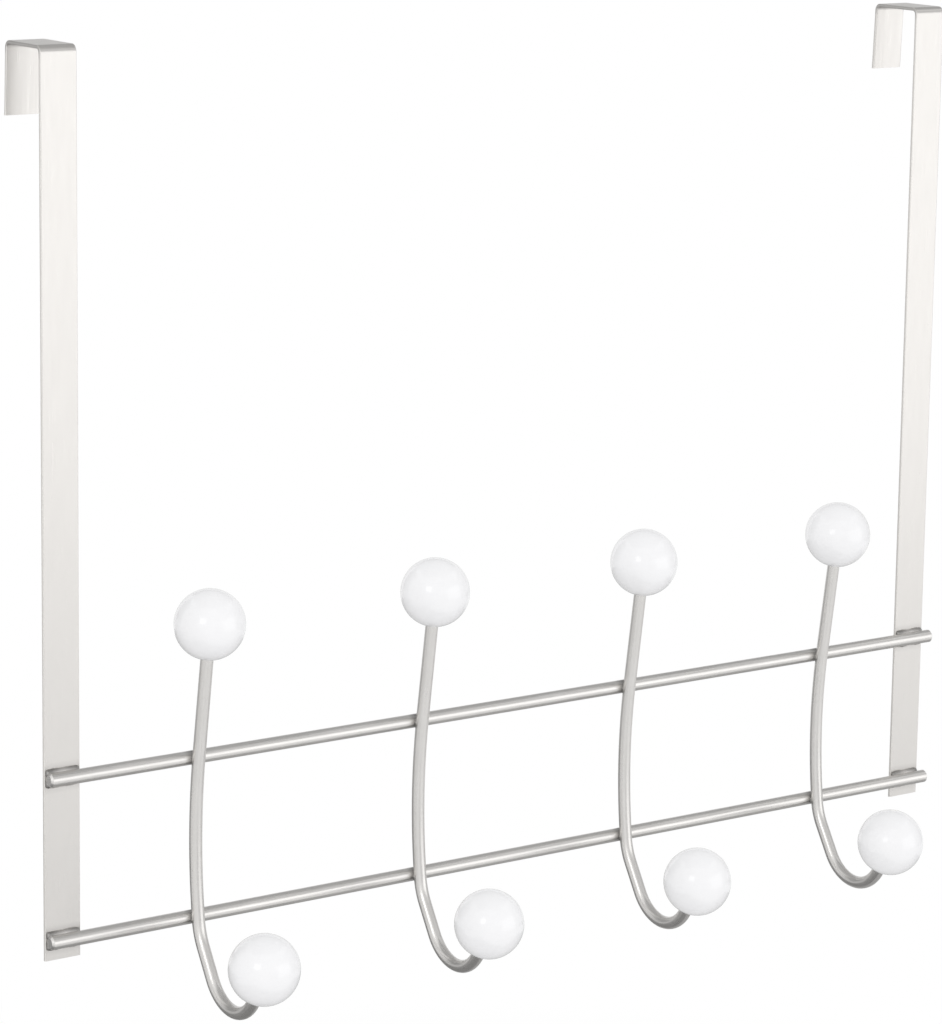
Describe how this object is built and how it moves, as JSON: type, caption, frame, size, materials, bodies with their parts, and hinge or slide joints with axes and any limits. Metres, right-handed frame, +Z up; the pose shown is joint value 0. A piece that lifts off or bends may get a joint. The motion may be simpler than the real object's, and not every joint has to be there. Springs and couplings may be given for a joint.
{
  "type": "over door hook",
  "caption": "Over-the-door rack: flat metal straps hook over the top of a door and carry horizontal rails with double wire hooks that end in white balls.",
  "frame": {"origin": "on the door's top front edge, half-way between the two straps", "axes": "+Z up, -Y out of the door towards the person who uses the hooks, +X along the rails to the right"},
  "size_m": [0.6348, 0.1425, 0.5392],
  "materials": {
    "satin_nickel": "satin nickel plate on steel",
    "white_ball": "smooth glossy white"
  },
  "bodies": {
    "root": {"left_door_strap": "satin_nickel", "right_door_strap": "satin_nickel", "upper_rail": "satin_nickel", "lower_rail": "satin_nickel", "hook_wire_1": "satin_nickel", "hook_wire_2": "satin_nickel", "hook_wire_3": "satin_nickel", "hook_wire_4": "satin_nickel", "upper_ball_1": "white_ball", "upper_ball_2": "white_ball", "upper_ball_3": "white_ball", "upper_ball_4": "white_ball", "lower_ball_1": "white_ball", "lower_ball_2": "white_ball", "lower_ball_3": "white_ball", "lower_ball_4": "white_ball"}
  },
  "joints": []
}
